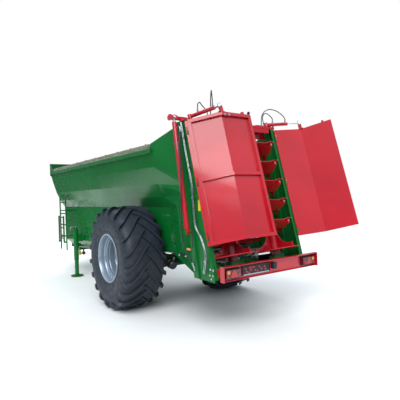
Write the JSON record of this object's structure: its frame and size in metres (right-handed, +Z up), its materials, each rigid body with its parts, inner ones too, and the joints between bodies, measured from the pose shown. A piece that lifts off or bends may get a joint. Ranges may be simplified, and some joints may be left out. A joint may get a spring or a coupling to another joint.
{
  "type": "manure spreader",
  "caption": "Towed single-axle manure spreader: deep faceted hopper, scraper floor, lifting gate, upright beaters, folding rear hood, ladder and parking jack.",
  "frame": {"origin": "middle of the front face of the drawbar's head plate, where the towing eye bolts on; the ground is 0.62 m below it", "axes": "+X to the left side of the machine, +Y to its rear, +Z up"},
  "size_m": [3.2645, 9.5502, 3.6039],
  "materials": {
    "green_paint": "gloss",
    "red_paint": "gloss",
    "tyre_rubber": "matt",
    "rim_paint": "satin",
    "plank_wood": "weathered",
    "black_paint": "satin",
    "hose_rubber": "matt",
    "rod_chrome": "polished",
    "lamp_lens": "gloss",
    "bare_steel": "satin",
    "plate_plastic": "matt"
  },
  "bodies": {
    "machine_frame": {"axle_beam": "black_paint", "beater_drive": "green_paint", "chain_shaft_front": "bare_steel", "chain_shaft_rear": "bare_steel", "chassis": "green_paint", "drawbar": "green_paint", "drive_shaft": "bare_steel", "floor": "bare_steel", "front_wall": "green_paint", "gate_cylinder_left": "red_paint", "gate_cylinder_right": "red_paint", "gate_hose": "hose_rubber", "hopper_left": "green_paint", "hopper_right": "green_paint", "hose_left_base": "hose_rubber", "hose_left_rod": "hose_rubber", "hose_right_base": "hose_rubber", "hose_right_rod": "hose_rubber", "input_gearbox": "green_paint", "jack_tube": "green_paint", "ladder": "green_paint", "lamp_left": "lamp_lens", "lamp_right": "lamp_lens", "light_bar": "red_paint", "plank_left": "plank_wood", "plank_right": "plank_wood", "plate_holder": "plate_plastic", "rear_frame_left": "green_paint", "rear_frame_right": "green_paint", "scraper_chain": "bare_steel", "side_bracket": "green_paint", "top_beam": "red_paint", "towing_eye": "bare_steel"},
    "wheel_left": {"tyre_left": "tyre_rubber", "rim_left": "rim_paint", "hub_left": "green_paint"},
    "beater_assembly_left": {"beater_left": "red_paint", "beater_disc_left": "red_paint"},
    "door_leaf_left": {"door_left": "red_paint"},
    "door_barrel_left": {"door_cylinder_left": "red_paint"},
    "door_piston_left": {"door_rod_left": "rod_chrome"},
    "wheel_right": {"tyre_right": "tyre_rubber", "rim_right": "rim_paint", "hub_right": "green_paint"},
    "beater_assembly_right": {"beater_right": "red_paint", "beater_disc_right": "red_paint"},
    "door_leaf_right": {"door_right": "red_paint"},
    "door_barrel_right": {"door_cylinder_right": "red_paint"},
    "door_piston_right": {"door_rod_right": "rod_chrome"},
    "sliding_gate": {"gate": "red_paint", "gate_rod_left": "rod_chrome", "gate_rod_right": "rod_chrome"},
    "parking_jack_leg": {"jack_leg": "green_paint"},
    "folding_step": {"ladder_step": "green_paint"}
  },
  "joints": [
    {"name": "wheel_left_spin", "type": "hinge", "parent": "machine_frame", "child": "wheel_left", "pos_m": [1.13, 6.3, 0.3], "axis": [1, 0, 0], "continuous": true},
    {"name": "wheel_right_spin", "type": "hinge", "parent": "machine_frame", "child": "wheel_right", "pos_m": [-1.13, 6.3, 0.3], "axis": [1, 0, 0], "continuous": true},
    {"name": "beater_left_spin", "type": "hinge", "parent": "machine_frame", "child": "beater_assembly_left", "pos_m": [0.44, 8.57425, 0.34834], "axis": [0, -0.2639, 0.9646], "continuous": true},
    {"name": "beater_right_spin", "type": "hinge", "parent": "machine_frame", "child": "beater_assembly_right", "pos_m": [-0.44, 8.57425, 0.34834], "axis": [0, -0.2639, 0.9646], "continuous": true},
    {"name": "gate_lift", "type": "slide", "parent": "machine_frame", "child": "sliding_gate", "axis": [0, -0.1599, 0.9871], "range_m": [0, 1.15]},
    {"name": "door_left_swing", "type": "hinge", "parent": "machine_frame", "child": "door_leaf_left", "pos_m": [0.93, 8.71122, 0.38581], "axis": [0, -0.2639, 0.9646], "range_deg": [-120, 0]},
    {"name": "door_right_swing", "type": "hinge", "parent": "machine_frame", "child": "door_leaf_right", "pos_m": [-0.93, 8.71122, 0.38581], "axis": [0, -0.2639, 0.9646], "range_deg": [-120, 0]},
    {"name": "door_barrel_left_pivot", "type": "hinge", "parent": "machine_frame", "child": "door_barrel_left", "pos_m": [0.8, 8.06075, 2.56645], "axis": [0, -0.2639, 0.9646], "range_deg": [-104, 0]},
    {"name": "door_rod_left_slide", "type": "slide", "parent": "door_barrel_left", "child": "door_piston_left", "axis": [-0.513, 0.828, 0.2265], "range_m": [0, 0.181]},
    {"name": "door_barrel_right_pivot", "type": "hinge", "parent": "machine_frame", "child": "door_barrel_right", "pos_m": [-0.8, 8.06075, 2.56645], "axis": [0, -0.2639, 0.9646], "range_deg": [-104, 0]},
    {"name": "door_rod_right_slide", "type": "slide", "parent": "door_barrel_right", "child": "door_piston_right", "axis": [-0.956, 0.2831, 0.0775], "range_m": [-0.181, 0]},
    {"name": "jack_leg_slide", "type": "slide", "parent": "machine_frame", "child": "parking_jack_leg", "axis": [0, 0, 1], "range_m": [0, 0.31]},
    {"name": "ladder_step_fold", "type": "hinge", "parent": "machine_frame", "child": "folding_step", "pos_m": [1.005, 1.95, 0.24], "axis": [0, 1, 0], "range_deg": [0, 180]}
  ],
  "couplings": [
    {"joint": "beater_right_spin", "follows": "beater_left_spin", "ratio": -1},
    {"joint": "door_barrel_left_pivot", "follows": "door_left_swing", "ratio": 0.86496},
    {"joint": "door_rod_left_slide", "follows": "door_left_swing", "m_per_rad": -0.085768},
    {"joint": "door_barrel_right_pivot", "follows": "door_right_swing", "ratio": 0.86496},
    {"joint": "door_rod_right_slide", "follows": "door_right_swing", "m_per_rad": 0.085768}
  ]
}
